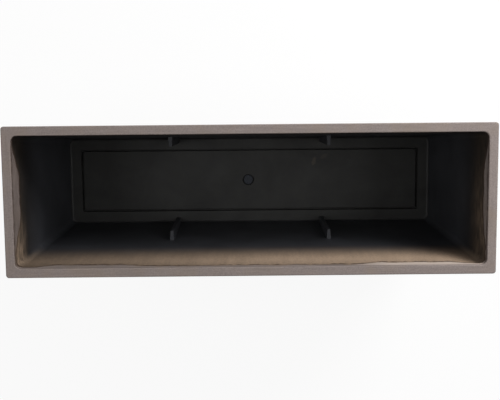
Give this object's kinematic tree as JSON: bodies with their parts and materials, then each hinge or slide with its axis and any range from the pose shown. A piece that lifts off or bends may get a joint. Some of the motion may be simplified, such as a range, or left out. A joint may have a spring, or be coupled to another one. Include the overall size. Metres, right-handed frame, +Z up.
{
  "type": "room divider planter",
  "caption": "Long deep planting trough with a flat rim, drafted walls, four inner ribs, a sunken floor panel and a removable drain plug.",
  "frame": {"origin": "centre of the standing edge, on the ground", "axes": "+X along the length, +Y across the width, +Z up out of the mouth"},
  "size_m": [0.8, 0.247, 0.392],
  "materials": {
    "trough_plastic": "black moulded plastic, painted taupe with a fine stone texture outside, on the rim and just inside it",
    "plug_plastic": "dark blue-grey moulded plastic, semi-matt",
    "seal_rubber": "black rubber, matt"
  },
  "bodies": {
    "trough": {"planter_body": "trough_plastic"},
    "plug": {"drain_plug": "plug_plastic", "plug_seal": "seal_rubber"}
  },
  "joints": [
    {"name": "plug_lift", "type": "slide", "parent": "trough", "child": "plug", "axis": [0, 0, 1], "range_m": [0, 0.06]}
  ]
}
